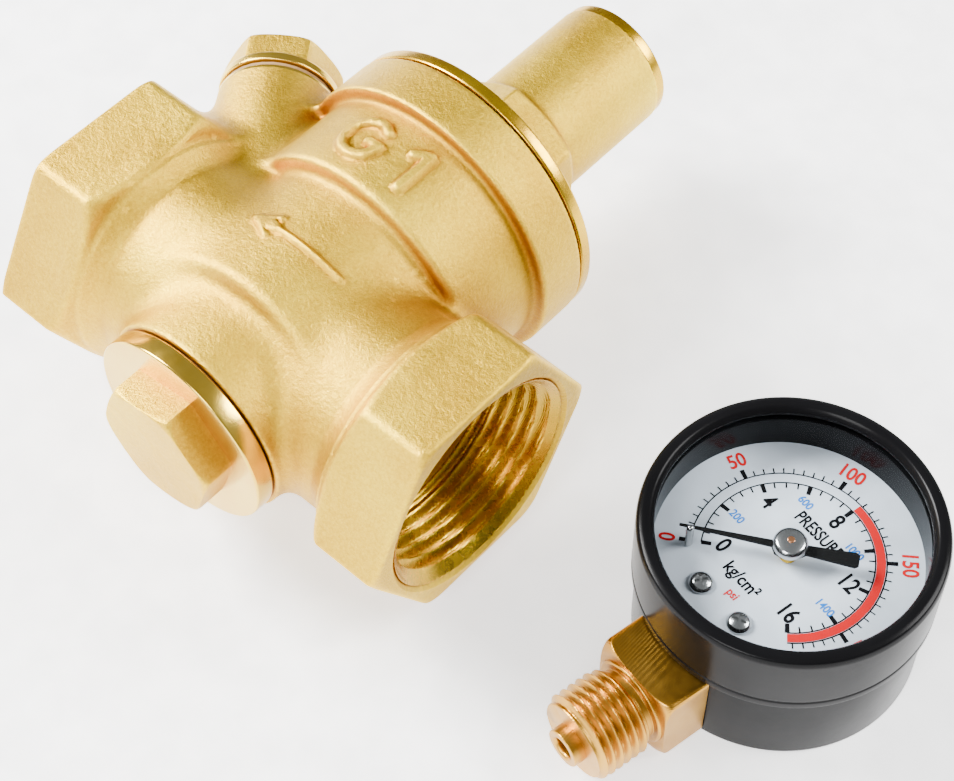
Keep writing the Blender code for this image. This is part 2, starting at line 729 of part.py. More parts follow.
def bourdon(origin, brass):
    arc = [(*polar(14.6, -68 + i * 8), 0) for i in range(29)]
    wire("bourdon_tube", arc, 0.9, brass, (0, 0, STEM_Z), ALONG_Z, origin, stretch=2.4)
    spot = polar(14.6, 167)
    tip = [(-0.9, -1.1), (0.9, -1.1), (0.9, 1.1), (-0.9, 1.1)]
    plate("tube_tip", tip, STEM_Z - 2.0, STEM_Z + 2.0, brass, origin, at=spot, turn=167)


def gauge_socket(origin, brass):
    half = STEM_BLOCK / 2
    made = box(
        "gauge_socket", (-half, -STEM_BLOCK_END, STEM_Z - half), (half, -20.8, STEM_Z + half), brass, origin
    )
    tenon = box(
        "socket_tenon",
        (-TENON / 2, -22, STEM_Z - TENON / 2),
        (TENON / 2, -11, STEM_Z + TENON / 2),
        parent=origin,
        cutter=True,
    )
    front = (math.radians(90), 0, 0)
    stub = [
        (0, STEM_TIP),
        (2.6, STEM_TIP),
        (2.9, STEM_TIP - 0.3),
        (2.9, STEM_TIP - 1.9),
        (5.6, STEM_TIP - 1.9),
        (STEM_THREAD_R, STEM_TIP - 2.7),
        (STEM_THREAD_R, STEM_BLOCK_END + 2.4),
        (5.3, STEM_BLOCK_END + 1.8),
        (5.3, STEM_BLOCK_END + 0.5),
        (half - 0.4, STEM_BLOCK_END + 0.5),
        (half - 0.4, STEM_BLOCK_END - 1),
        (0, STEM_BLOCK_END - 1),
    ]
    boolean(made, "UNION", tenon, turned("stub", stub, at=(0, 0, STEM_Z), rotation=front, parent=origin,
                                         steps=32, cutter=True))
    bore = turned("stem_bore", rod(1.6, STEM_TIP + 1, 15), at=(0, 0, STEM_Z), rotation=front, parent=origin, steps=16,
                  cutter=True)
    boolean(made, "DIFFERENCE", bore)
    turned("restrictor", ring(1.3, 0.4, 31, 27), brass, (0, 0, STEM_Z), front, origin, 12)


def centre_on_floor(*axes):
    """Moves both assemblies together, so that the origin is the middle of the whole box's underside."""
    bpy.context.view_layer.update()
    graph = bpy.context.evaluated_depsgraph_get()
    corners = []
    for obj in PARTS.objects:
        if obj.type != "EMPTY":
            shape = obj.evaluated_get(graph)
            corners += [shape.matrix_world @ vert.co for vert in shape.to_mesh().vertices]
    low = [min(corner[i] for corner in corners) for i in range(3)]
    high = [max(corner[i] for corner in corners) for i in range(3)]
    for axis in axes:
        axis.location -= Vector(((low[0] + high[0]) / 2, (low[1] + high[1]) / 2, low[2]))
    bpy.context.view_layer.update()


def main():
    valve = empty("regulator_axes", (0, 0, RING_R))
    gauge = empty("gauge_axes", (*GAUGE_CENTRE, 0), GAUGE_TURN)
    cast = material("cast brass", (0.62, 0.42, 0.13), 0.42, 1.0)
    machined = material("machined brass", (0.78, 0.56, 0.2), 0.22, 1.0)
    steel = material("bright steel", (0.62, 0.62, 0.6), 0.25, 1.0)
    black = material("black enamel", (0.012, 0.012, 0.013), 0.25, 0.0)
    white = material("dial white", (0.82, 0.86, 0.9), 0.4, 0.0)
    valve_body(valve, cast)
    bonnet(valve, cast)
    adjuster(valve, machined, steel)
    piston_group(valve, machined, steel)
    bottom_plug(valve, cast)
    port_plug(valve, machined)
    gauge_case(gauge, black)
    gauge_dial(gauge, white, steel)
    gauge_movement(gauge, machined, steel, black)
    bourdon(gauge, machined)
    gauge_socket(gauge, machined)
    centre_on_floor(valve, gauge)


clear_scene()
PARTS = collection("water_pressure_regulator", False)
CUTTERS = collection("cutters", True)
RUBBER = material("black rubber", (0.02, 0.02, 0.02), 0.7, 0.0)
FIBRE = material("fibre washer", (0.35, 0.12, 0.06), 0.8, 0.0)
GLASS = material("lens glass", (0.95, 0.97, 0.98), 0.03, 0.0, 0.15)
main()
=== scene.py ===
"""Looks of a brass water pressure regulator and its loose dial gauge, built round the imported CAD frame."""

import json
import math

import bmesh
import bpy
import numpy as np
from mathutils import Euler, Matrix, Vector


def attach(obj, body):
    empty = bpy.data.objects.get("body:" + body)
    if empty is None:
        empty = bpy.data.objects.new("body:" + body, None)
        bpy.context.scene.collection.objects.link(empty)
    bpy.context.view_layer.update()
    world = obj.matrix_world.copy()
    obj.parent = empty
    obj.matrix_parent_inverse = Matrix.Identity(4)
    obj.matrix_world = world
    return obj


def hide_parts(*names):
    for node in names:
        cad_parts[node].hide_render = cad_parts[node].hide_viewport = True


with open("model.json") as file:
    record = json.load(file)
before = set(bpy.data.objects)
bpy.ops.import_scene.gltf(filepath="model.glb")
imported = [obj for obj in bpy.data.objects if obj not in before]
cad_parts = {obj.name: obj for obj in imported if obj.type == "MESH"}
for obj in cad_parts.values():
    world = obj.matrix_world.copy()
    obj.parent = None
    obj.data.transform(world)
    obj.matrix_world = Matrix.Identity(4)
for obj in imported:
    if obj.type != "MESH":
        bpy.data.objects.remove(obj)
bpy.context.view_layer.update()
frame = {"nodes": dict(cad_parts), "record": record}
MM = 0.001
MOUNTS = {m["name"]: m for m in frame["record"]["mounts"]}

# Axes of the regulator and of the gauge, from the record's mounts. Everything below is in mm in those axes.
VALVE_AT = Vector(MOUNTS["inlet_face"]["pos_m"]) - Vector((37.3, 19.2, 0)) * MM
GAUGE_AT = Vector(MOUNTS["gauge_back"]["pos_m"])
STEM_WAY = MOUNTS["gauge_stem_shoulder"]["axis"]
GAUGE_TURN = math.atan2(STEM_WAY[1], STEM_WAY[0]) + math.pi / 2
VALVE = Matrix.Translation(VALVE_AT) @ Matrix.Scale(MM, 4)
GAUGE = Matrix.Translation(GAUGE_AT) @ Matrix.Rotation(GAUGE_TURN, 4, "Z") @ Matrix.Scale(MM, 4)

HEX_FLATS = 38.0
FACE = 37.3
HEX_BACK = 24.7
THREAD_BORE_R = 15.15
THREAD_ROOT_R = 16.6
LINER_R = 17.0
BOSS_FOOT = Vector((-11.7, 2.8, 1.4))
BOSS_WAY = Vector((-math.sin(math.radians(36.3)), math.cos(math.radians(36.3)), 0))
BOSS_END = 33.5
STEM_Z = 7.4
BEZEL_R = 21.15
DIAL_TOP = 18.6
SWEEP = 264.0
FULL_SCALE = 16.0
PSI_PER_UNIT = 14.2233

ALONG_Y = Euler((math.radians(-90), 0, 0)).to_matrix().to_4x4()
AGAINST_Y = Euler((math.radians(90), 0, 0)).to_matrix().to_4x4()
ALONG_BOSS = Matrix.Translation(BOSS_FOOT) @ BOSS_WAY.to_track_quat("Z", "Y").to_matrix().to_4x4()
INLET = Euler((0, math.radians(90), 0)).to_matrix().to_4x4()
OUTLET = Euler((0, math.radians(270), 0)).to_matrix().to_4x4()


# ---------------------------------------------------------------- materials


class Nodes:
    """A material's node tree, with short calls to add and join nodes."""

    def __init__(self, name):
        self.material = bpy.data.materials.new(name)
        self.material.use_nodes = True
        self.tree = self.material.node_tree
        self.shader = self.tree.nodes["Principled BSDF"]
        self.coords = self.tree.nodes.new("ShaderNodeTexCoord").outputs["Object"]

    def join(self, source, socket):
        self.tree.links.new(source, socket)

    def noise(self, scale, detail=3.0, coords=None, rough=0.55):
        node = self.tree.nodes.new("ShaderNodeTexNoise")
        node.inputs["Scale"].default_value = scale
        node.inputs["Detail"].default_value = detail
        node.inputs["Roughness"].default_value = rough
        self.join(coords or self.coords, node.inputs["Vector"])
        return node.outputs["Fac"]

    def ramp(self, source, stops):
        node = self.tree.nodes.new("ShaderNodeValToRGB")
        elements = node.color_ramp.elements
        while len(elements) < len(stops):
            elements.new(0.5)
        for element, (place, colour) in zip(elements, stops):
            element.position = place
            element.color = (*colour, 1.0)
        self.join(source, node.inputs["Fac"])
        return node.outputs["Color"]

    def mapped(self, at, stretch=(1, 1, 1)):
        node = self.tree.nodes.new("ShaderNodeMapping")
        node.vector_type = "POINT"
        node.inputs["Location"].default_value = [-a * s for a, s in zip(at, stretch)]
        node.inputs["Scale"].default_value = stretch
        self.join(self.coords, node.inputs["Vector"])
        return node.outputs["Vector"]

    def rings(self, at, axis, per_metre):
        """Fine turning marks: rings round an axis through a point."""
        node = self.tree.nodes.new("ShaderNodeTexWave")
        node.wave_type = "RINGS"
        node.rings_direction = axis
        node.inputs["Scale"].default_value = per_metre
        node.inputs["Distortion"].default_value = 0.6
        node.inputs["Detail"].default_value = 1.0
        self.join(self.mapped(at), node.inputs["Vector"])
        return node.outputs["Fac"]

    def blend(self, first, second, share):
        node = self.tree.nodes.new("ShaderNodeMix")
        node.inputs["Factor"].default_value = share
        self.join(first, node.inputs["A"])
        self.join(second, node.inputs["B"])
        return node.outputs["Result"]

    def tint(self, first, second):
        """The product of two colours."""
        node = self.tree.nodes.new("ShaderNodeVectorMath")
        node.operation = "MULTIPLY"
        self.join(first, node.inputs[0])
        self.join(second, node.inputs[1])
        return node.outputs["Vector"]

    # Ambient occlusion, used to paint shade into hollows.
    def hollows(self, reach):
        node = self.tree.nodes.new("ShaderNodeAmbientOcclusion")
        node.inputs["Distance"].default_value = reach
        node.samples = 8
        return node.outputs["AO"]

    # Pointiness of the surface, used to paint shade in creases and highlights on edges.
    def edges(self):
        return self.tree.nodes.new("ShaderNodeNewGeometry").outputs["Pointiness"]

    def level(self, source, low, high):
        node = self.tree.nodes.new("ShaderNodeMapRange")
        node.inputs["To Min"].default_value = low
        node.inputs["To Max"].default_value = high
        self.join(source, node.inputs["Value"])
        return node.outputs["Result"]

    def bump(self, source, height, below=None):
        node = self.tree.nodes.new("ShaderNodeBump")
        node.inputs["Strength"].default_value = 1.0
        node.inputs["Distance"].default_value = height
        self.join(source, node.inputs["Height"])
        if below:
            self.join(below, node.inputs["Normal"])
        return node.outputs["Normal"]


def cast_brass():
    n = Nodes("cast_brass")
    tone = n.blend(n.noise(38, 3), n.noise(2100, 4, rough=0.8), 0.5)
    open_air = n.ramp(
        tone, [(0.34, (0.46, 0.25, 0.006)), (0.5, (0.65, 0.40, 0.012)), (0.66, (0.82, 0.58, 0.030))]
    )
    # Painted shade: ambient occlusion darkens the brass towards orange-brown in hollows and creases.
    hollow_shaded = n.tint(open_air, n.ramp(n.hollows(0.009), [(0.35, (0.50, 0.30, 0.14)), (0.92, (1, 1, 1))]))
    # Painted light: pointiness darkens concave creases further and lifts sharp edges towards white as a
    # painted highlight.
    edge_highlight_and_crease_shade = n.tint(
        hollow_shaded, n.ramp(n.edges(), [(0.44, (0.62, 0.44, 0.28)), (0.5, (1, 1, 1)), (0.56, (1.25, 1.3, 1.5))])
    )
    n.join(edge_highlight_and_crease_shade, n.shader.inputs["Base Color"])
    n.shader.inputs["Metallic"].default_value = 1.0
    n.join(n.level(n.noise(420, 4), 0.33, 0.48), n.shader.inputs["Roughness"])
    grain = n.bump(n.noise(2300, 4, rough=0.75), 0.00013)
    n.join(n.bump(n.noise(520, 3), 0.00012, grain), n.shader.inputs["Normal"])
    return n.material


def machined_brass(name, colours, at, axis, rough=(0.2, 0.34)):
    n = Nodes(name)
    n.join(n.ramp(n.noise(90, 3), [(0.3, colours[0]), (0.7, colours[1])]), n.shader.inputs["Base Color"])
    n.shader.inputs["Metallic"].default_value = 1.0
    n.join(n.level(n.noise(700, 4), *rough), n.shader.inputs["Roughness"])
    marks = n.bump(n.rings(at, axis, 1500), 0.000012)
    n.join(n.bump(n.noise(1800, 3), 0.00001, marks), n.shader.inputs["Normal"])
    return n.material


def plain(name, colour, rough, metallic=0.0, scale=900, height=0.00001, spread=0.06, sheen=0.5):
    """A solid colour with a slightly uneven tint, gloss and surface."""
    n = Nodes(name)
    darker = tuple(c * 0.86 for c in colour)
    n.join(n.ramp(n.noise(130, 3), [(0.35, darker), (0.65, colour)]), n.shader.inputs["Base Color"])
    n.shader.inputs["Metallic"].default_value = metallic
    n.shader.inputs["Specular IOR Level"].default_value = sheen
    n.join(n.level(n.noise(scale * 0.5, 3), rough - spread, rough + spread), n.shader.inputs["Roughness"])
    n.join(n.bump(n.noise(scale, 3), height), n.shader.inputs["Normal"])
    return n.material


def clear_glass():
    """A thin clear pane: mostly see-through, with a soft mirror sheen."""
    n = Nodes("lens_glass")
    nodes = n.tree.nodes
    clear = nodes.new("ShaderNodeBsdfTransparent")
    clear.inputs["Color"].default_value = (0.97, 0.985, 0.99, 1)
    gloss = nodes.new("ShaderNodeBsdfGlossy")
    n.join(n.level(n.noise(60, 2), 0.03, 0.06), gloss.inputs["Roughness"])
    fresnel = nodes.new("ShaderNodeFresnel")
    fresnel.inputs["IOR"].default_value = 1.12
    mix = nodes.new("ShaderNodeMixShader")
    n.join(fresnel.outputs["Fac"], mix.inputs["Fac"])
    n.join(clear.outputs["BSDF"], mix.inputs[1])
    n.join(gloss.outputs["BSDF"], mix.inputs[2])
    n.join(mix.outputs["Shader"], nodes["Material Output"].inputs["Surface"])
    return n.material


PALE = ((0.54, 0.30, 0.008), (0.70, 0.44, 0.020))
ORANGE = ((0.44, 0.21, 0.022), (0.62, 0.34, 0.05))
FINISHES = {
    "cast_brass": cast_brass(),
    "turned_brass": machined_brass("turned_brass", PALE, VALVE_AT, "Y"),
    "stem_brass": machined_brass("stem_brass", ORANGE, GAUGE_AT, "Y", (0.24, 0.38)),
    "bright_steel": plain("bright_steel", (0.52, 0.52, 0.52), 0.2, 1.0),
    "spring_steel": plain("spring_steel", (0.42, 0.42, 0.43), 0.32, 1.0),
    "black_rubber": plain("black_rubber", (0.022, 0.022, 0.022), 0.7, height=0.00003),
    "fibre_washer": plain("fibre_washer", (0.27, 0.15, 0.05), 0.75, height=0.00004),
    "black_enamel": plain(
        "black_enamel", (0.004, 0.004, 0.0045), 0.24, scale=260, height=0.00002, sheen=0.07
    ),
    "lens_glass": clear_glass(),
    "dial_white": plain("dial_white", (0.62, 0.67, 0.74), 0.5, scale=1500, height=0.000004),
    "needle_black": plain("needle_black", (0.004, 0.004, 0.004), 0.5, sheen=0.1),
}
POLISHED = machined_brass(
    "polished_brass", ((0.74, 0.46, 0.04), (0.88, 0.61, 0.09)), VALVE_AT, "Y", (0.14, 0.24)
)
INK = {
    "black": plain("ink_black", (0.004, 0.004, 0.005), 0.6, sheen=0.05),
    "red": plain("ink_red", (0.60, 0.008, 0.012), 0.6, sheen=0.05),
    "blue": plain("ink_blue", (0.01, 0.16, 0.55), 0.6, sheen=0.05),
}
COPPER = plain("copper_tip", (0.75, 0.33, 0.16), 0.3, 1.0)


# ---------------------------------------------------------------- meshes

# Faces of a box whose corners are listed with x slowest and z fastest.
BOX_FACES = [(0, 1, 3, 2), (4, 6, 7, 5), (0, 4, 5, 1), (2, 3, 7, 6), (0, 2, 6, 4), (1, 5, 7, 3)]


def build(name, points, faces, place, finish):
    """A mesh object in the row frame from points in mm and a matrix that places them."""
    matrix = np.array(place)
    world = np.asarray(points, float) @ matrix[:3, :3].T + matrix[:3, 3]
    data = bpy.data.meshes.new(name)
    data.from_pydata(world.tolist(), [], [list(map(int, face)) for face in faces])
    data.materials.append(finish)
    made = bpy.data.objects.new(name, data)
    bpy.context.scene.collection.objects.link(made)
    return made


def sew(made, normals=True):
    """Merges doubled points, such as those on an axis, and turns the faces outwards."""
    mesh = bmesh.new()
    mesh.from_mesh(made.data)
    bmesh.ops.remove_doubles(mesh, verts=mesh.verts, dist=2e-7)
    bmesh.ops.dissolve_degenerate(mesh, edges=mesh.edges, dist=1e-8)
    if normals:
        bmesh.ops.recalc_face_normals(mesh, faces=mesh.faces)
    mesh.to_mesh(made.data)
    mesh.free()
    return made


def smooth(made, angle=32.0):
    made.data.shade_smooth()
    made.data.set_sharp_from_angle(angle=math.radians(angle))
    return made


def filleted(profile, radius, parts=4):
    """The open profile with each inner corner rounded."""
    points = [Vector(p) for p in profile]
    out = [points[0]]
    for before, corner, after in zip(points, points[1:], points[2:]):
        back, ahead = before - corner, after - corner
        reach = min(radius, 0.45 * back.length, 0.45 * ahead.length)
        start = corner + back.normalized() * reach
        end = corner + ahead.normalized() * reach
        for k in range(parts + 1):
            t = k / parts
            out.append(start * (1 - t) ** 2 + corner * 2 * t * (1 - t) + end * t * t)
    out.append(points[-1])
    return [tuple(p) for p in out]


def revolve(radii, heights, ring=False):
    """Points and quads round Z: a row of radii for each height."""
    radii = np.asarray(radii, float)
    rows, steps = radii.shape
    tall = np.repeat(np.asarray(heights, float)[:, None], steps, axis=1)
    angles = np.arange(steps) * 2 * math.pi / steps
    points = np.stack([radii * np.cos(angles), radii * np.sin(angles), tall], -1).reshape(-1, 3)
    count = rows if ring else rows - 1
    row = np.arange(count)[:, None] * steps
    above = ((np.arange(count) + 1) % rows)[:, None] * steps
    column = np.arange(steps)
    beside = (column + 1) % steps
    faces = np.stack([row + column, row + beside, above + beside, above + column], -1).reshape(-1, 4)
    return points, faces


def lathe(name, profile, place, finish, steps=192, fillet=0.25, ring=False, angle=32.0):
    """A turned piece. A closed ring profile repeats its first point at the end."""
    shape = filleted(profile, fillet) if fillet else profile
    if ring:
        shape = shape[:-1]
    radii = np.repeat(np.array([p[0] for p in shape])[:, None], steps, axis=1)
    points, faces = revolve(radii, [p[1] for p in shape], ring)
    return smooth(sew(build(name, points, faces, place, finish)), angle)


def soft_less(a, b, width):
    share = np.clip(0.5 + 0.5 * (b - a) / width, 0, 1)
    return b * (1 - share) + a * share - width * share * (1 - share)


def soft_more(a, b, width):
    return -soft_less(-a, -b, width)


def turned_prism(name, sides, flats, levels, place, finish, turn=0.0, corner=0.5, steps=240, bore=None):
    """A wrench hexagon or square block with its corners turned off. Levels are (height, turning radius)."""
    angles = np.arange(steps) * 360 / steps
    local = np.radians((angles - turn) % (360 / sides) - 180 / sides)
    flat = flats / 2 / np.cos(local)
    radii = [soft_less(flat, np.full(steps, limit), corner) for _, limit in levels]
    radii = [
        np.full(steps, 0.0 if bore is None else bore), *radii, np.full(steps, 0.0 if bore is None else bore)
    ]
    heights = [levels[0][0], *[height for height, _ in levels], levels[-1][0]]
    points, faces = revolve(radii, heights, ring=bore is not None)
    return smooth(sew(build(name, points, faces, place, finish)), 28)


def eased(start, end, first, last, count=14):
    """Levels from one (height, radius) round to another, for a turned-off corner."""
    out = []
    for k in range(count + 1):
        t = k / count
        out.append(
            (
                start + (end - start) * math.sin(t * math.pi / 2),
                first + (last - first) * (1 - math.cos(t * math.pi / 2))
            )
        )
    return out


def ridge(phase):
    """A rounded V thread: 0 in the groove, 1 on the crest."""
    share = np.abs((phase % 1.0) * 2 - 1)
    return 0.7 * share + 0.3 * (0.5 - 0.5 * np.cos(math.pi * share))


def cut(made, *cutters):
    """Takes the cutters out of a closed mesh, then drops them."""
    for cutter in cutters:
        modifier = made.modifiers.new("cut", "BOOLEAN")
        modifier.operation = "DIFFERENCE"
        modifier.object = cutter
        modifier.solver = "MANIFOLD"
    bpy.context.view_layer.update()
    graph = bpy.context.evaluated_depsgraph_get()
    result = bpy.data.meshes.new_from_object(made.evaluated_get(graph))
    made.modifiers.clear()
    made.data = result
    for cutter in cutters:
        bpy.data.objects.remove(cutter)
    return made


def piece(made, body, slot, *stands_for):
    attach(made, body)
    if stands_for:
        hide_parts(*stands_for)
    return made


# ---------------------------------------------------------------- castings


def surface_net(field, low, step):
    """Quads over the zero level of a signed distance grid, negative inside."""
    inside = field < 0
    shape = tuple(n - 1 for n in field.shape)
    corners = [(i, j, k) for i in (0, 1) for j in (0, 1) for k in (0, 1)]
    count = np.zeros(shape, np.int8)
    for i, j, k in corners:
        count += inside[i : shape[0] + i, j : shape[1] + j, k : shape[2] + k]
    mixed = (count > 0) & (count < 8)
    index = np.full(shape, -1, np.int64)
    index[mixed] = np.arange(mixed.sum())
    cells = np.argwhere(mixed)
    total = np.zeros((len(cells), 3))
    hits = np.zeros(len(cells))
    for a in corners:
        for axis in range(3):
            if a[axis]:
                continue
            b = tuple(v + (n == axis) for n, v in enumerate(a))
            first = field[tuple((cells + a).T)]
            second = field[tuple((cells + b).T)]
            cross = (first < 0) != (second < 0)
            share = np.where(cross, first / np.where(cross, first - second, 1), 0)
            spot = cells + np.array(a) + share[:, None] * (np.array(b) - np.array(a))
            total[cross] += spot[cross]
            hits += cross
    points = np.array(low) + step * total / hits[:, None]
    quads = []
    for axis in range(3):
        here = [slice(None)] * 3
        there = [slice(None)] * 3
        here[axis], there[axis] = slice(None, -1), slice(1, None)
        first, second = inside[tuple(here)], inside[tuple(there)]
        u, v = (axis + 1) % 3, (axis + 2) % 3
        for starts_in in (True, False):
            spots = np.argwhere((first != second) & (first == starts_in))
            around = []
            for du, dv in ((0, 0), (-1, 0), (-1, -1), (0, -1)):
                near = spots.copy()
                near[:, u] += du
                near[:, v] += dv
                around.append(index[tuple(near.T)])
            quad = np.stack(around, -1)
            quads.append(quad if starts_in else quad[:, ::-1])
    return points, np.concatenate(quads)


def settle(points, field, rounds=3, reach=0.05):
    """Moves points onto the field's zero level."""
    for _ in range(rounds):
        slope = np.stack([field(points + d) - field(points - d) for d in np.eye(3) * reach], -1) / (2 * reach)
        size = np.maximum((slope**2).sum(1), 0.05)
        points = points - np.clip(field(points) / size, -0.5, 0.5)[:, None] * slope
    return points


def casting(name, field, low, high, step, place, finish):
    sides = [np.arange(a, b + step, step) for a, b in zip(low, high)]
    grid = np.stack(np.meshgrid(*sides, indexing="ij"), -1)
    values = np.stack([field(layer.reshape(-1, 3)).reshape(layer.shape[:2]) for layer in grid])
    points, quads = surface_net(values, low, step)
    return build(name, settle(points, field), quads, place, finish)


def cylinder(radial, along, radius, low, high, edge=0.8):
    return soft_more(radial - radius, np.maximum(low - along, along - high), edge)


def stroke(x, y, a, b, width):
    """1 along a drawn line, easing to 0 at its edge."""
    a, b = np.array(a, float), np.array(b, float)
    way = b - a
    share = np.clip(((x - a[0]) * way[0] + (y - a[1]) * way[1]) / (way @ way), 0, 1)
    off = np.hypot(x - a[0] - share * way[0], y - a[1] - share * way[1])
    return np.clip((width + 0.1 - off) / 0.5, 0, 1)


ARROW = [((8.2, 3.6), (-5.6, 3.6), 0.55), ((-8.0, 3.6), (-4.4, 5.4), 0.6), ((-8.0, 3.6), (-4.4, 1.8), 0.6),
         ((-7.2, 3.6), (-4.4, 3.6), 1.1)]
G_BOW = [
    (-4.6 + 3.3 * math.cos(math.radians(t)), 22.2 + 3.5 * math.sin(math.radians(t)))
    for t in range(48, 331, 24)
]
SIZE_MARK = [
    *zip(G_BOW, G_BOW[1:]), (G_BOW[-1], (-1.5, 21.9)), ((-1.5, 21.9), (-3.6, 21.9)),
    ((2.9, 24.2), (5.0, 25.7)), ((5.0, 25.7), (5.0, 18.7)),
]


def raised_marks(x, y, z):
    """Height of the cast flow arrow and pipe size on the upper side, 0 to 1."""
    arrow = np.max([stroke(x, y, a, b, w) for a, b, w in ARROW], axis=0)
    mark = np.max([stroke(x, y, a, b, 0.95) for a, b in SIZE_MARK], axis=0)
    return np.where(z > 8, np.maximum(0.55 * arrow, 0.8 * mark), 0)


def body_field(p):
    x, y, z = p.T
    round_y, round_x, side = np.hypot(x, z), np.hypot(y, z), np.abs(x)
    f = cylinder(round_y, y, 23.4, 29.2, 37.2, 0.5)
    f = soft_less(f, cylinder(round_y, y, 21.3, 14.7, 35, 1.2), 1.0)
    f = soft_less(f, cylinder(round_y, y, 18.9, -6.9, 30, 1.8), 1.6)
    f = soft_less(f, cylinder(round_y, y, 15.85, -18.1, 10, 0.4), 2.2)
    flare = 16.5 + 2.0 * np.clip((side - 20.7) / 3.0, 0, 1) ** 1.5
    f = soft_less(f, soft_more(round_x - flare, side - 27, 0.5), 2.6)
    flats = soft_more(np.abs(z), np.abs(y) * 0.8660254 + np.abs(z) * 0.5, 0.9) - HEX_FLATS / 2
    hexagon = soft_more(flats, np.maximum(HEX_BACK - side, side - FACE), 0.7)
    hexagon = soft_more(hexagon, 0.5 * (round_x - 21.0) + 0.866 * (side - FACE), 0.5)
    hexagon = soft_more(hexagon, 0.62 * (round_x - 19.8) + 0.785 * (HEX_BACK - side), 0.8)
    f = soft_less(f, hexagon, 1.3)
    from_foot = p - np.array(BOSS_FOOT)
    along = from_foot @ np.array(BOSS_WAY)
    off = np.linalg.norm(from_foot - along[:, None] * np.array(BOSS_WAY), axis=1)
    boss = soft_more(off - (10.4 - (along - 6) * 0.04), np.maximum(6 - along, along - BOSS_END), 0.4)
    f = soft_less(f, boss, 2.8)
    return f - raised_marks(x, y, z)


def socket_cutter(name, way):
    profile = [(0, FACE + 1), (18.8, FACE + 1), (17.0, 36.5), (LINER_R, 24.6), (THREAD_BORE_R, 24.6),
               (THREAD_BORE_R, 20.5), (12.5, 19.5), (12.5, 15.6), (0, 15.6)]
    return lathe(name, profile, VALVE @ way, FINISHES["cast_brass"], 192, 0.0)


def passage_cutter(name, way, side, inner):
    shift = Matrix.Translation((0, side, 0))
    return lathe(
        name, [(0, inner), (7.3, inner), (7.3, 17), (0, 17)], VALVE @ shift @ way, FINISHES["cast_brass"],
        96, 0.0
    )


def socket_thread(name, way):
    """The G1 thread inside a socket, on a sleeve that fills the casting's bore."""
    steps, pitch = 216, 2.309
    deep = np.arange(24.65, 36.9, 0.12)
    angles = np.arange(steps) / steps
    crest = ridge(deep[:, None] / pitch - angles[None, :] + 0.5)
    fade = np.clip((deep - 24.9) / 1.2, 0, 1)[:, None]
    radii = THREAD_BORE_R + (THREAD_ROOT_R - THREAD_BORE_R) * (1 - crest) * fade
    mouth = (THREAD_BORE_R + np.clip(deep - 35.2, 0, None) * 1.05)[:, None]
    radii = np.minimum(np.maximum(radii, mouth), LINER_R - 0.05)
    outer = np.full((2, steps), LINER_R - 0.01)
    points, faces = revolve(np.vstack([radii, outer]), [*deep, deep[-1], deep[0]], ring=True)
    made = smooth(sew(build(name, points, faces, VALVE @ way, FINISHES["turned_brass"])), 50)
    return piece(made, "regulator", "turned_brass")


def valve_body():
    step = 0.36
    made = casting(
        "body_casting", body_field, (-41, -23.2, -24.8), (38.6, 38.6, 24.8), step, VALVE,
        FINISHES["cast_brass"]
    )
    bores = [
        (0, 38.5), (20.6, 38.5), (20.6, 29.8), (14.0, 29.8), (14.0, 14.5), (13.0, 14.5), (13.0, 2.5),
        (9.3, 2.5),
        (9.3, -1.5), (12.3, -1.5), (12.3, -16.7), (14.6, -16.7), (14.6, -19.5), (0, -19.5),
    ]
    port = [
        (0, BOSS_END + 1), (6.3, BOSS_END + 1), (6.3, BOSS_END - 9.5), (1.6, BOSS_END - 9.5), (1.6, 9),
        (0, 9)
    ]
    cast = FINISHES["cast_brass"]
    cut(
        made,
        lathe("cut_bores", bores, VALVE @ ALONG_Y, cast, 144, 0.0),
        socket_cutter("cut_inlet", INLET),
        socket_cutter("cut_outlet", OUTLET),
        passage_cutter("cut_in_way", INLET, -7, 9),
        passage_cutter("cut_out_way", OUTLET, 7, 11),
        lathe("cut_port", port, VALVE @ ALONG_BOSS, cast, 96, 0.0),
    )
    piece(smooth(made, 34), "regulator", "cast_brass", "valve_body")
    socket_thread("inlet_thread", INLET)
    socket_thread("outlet_thread", OUTLET)
    rim = [
        (8.9, BOSS_END - 1.2), (9.32, BOSS_END - 1.2), (9.32, BOSS_END + 0.02), (8.9, BOSS_END + 0.02),
        (8.9, BOSS_END - 1.2)
    ]
    piece(
        lathe("boss_rim", rim, VALVE @ ALONG_BOSS, POLISHED, 160, 0.15, ring=True), "regulator",
        "turned_brass"
    )


def bonnet_field(p):
    x, y, z = p.T
    round_y = np.hypot(x, z)
    roof = 0.985 * (y - (42.0 - (round_y - 10.2) * 0.17))
    f = soft_more(soft_more(round_y - 22.0, roof, 0.8), 38.2 - y, 0.3)
    flats = soft_more(np.abs(x), np.abs(z) * 0.8660254 + np.abs(x) * 0.5, 0.7) - 10.8
    collar = soft_more(flats, np.maximum(38.5 - y, y - 50.2), 0.6)
    collar = soft_more(collar, 0.5 * (round_y - 11.1) + 0.866 * (y - 50.2), 0.6)
    f = soft_less(f, collar, 1.4)
    return soft_less(f, cylinder(round_y, y, 10.2, 38.5, 71.0, 0.25), 0.9)


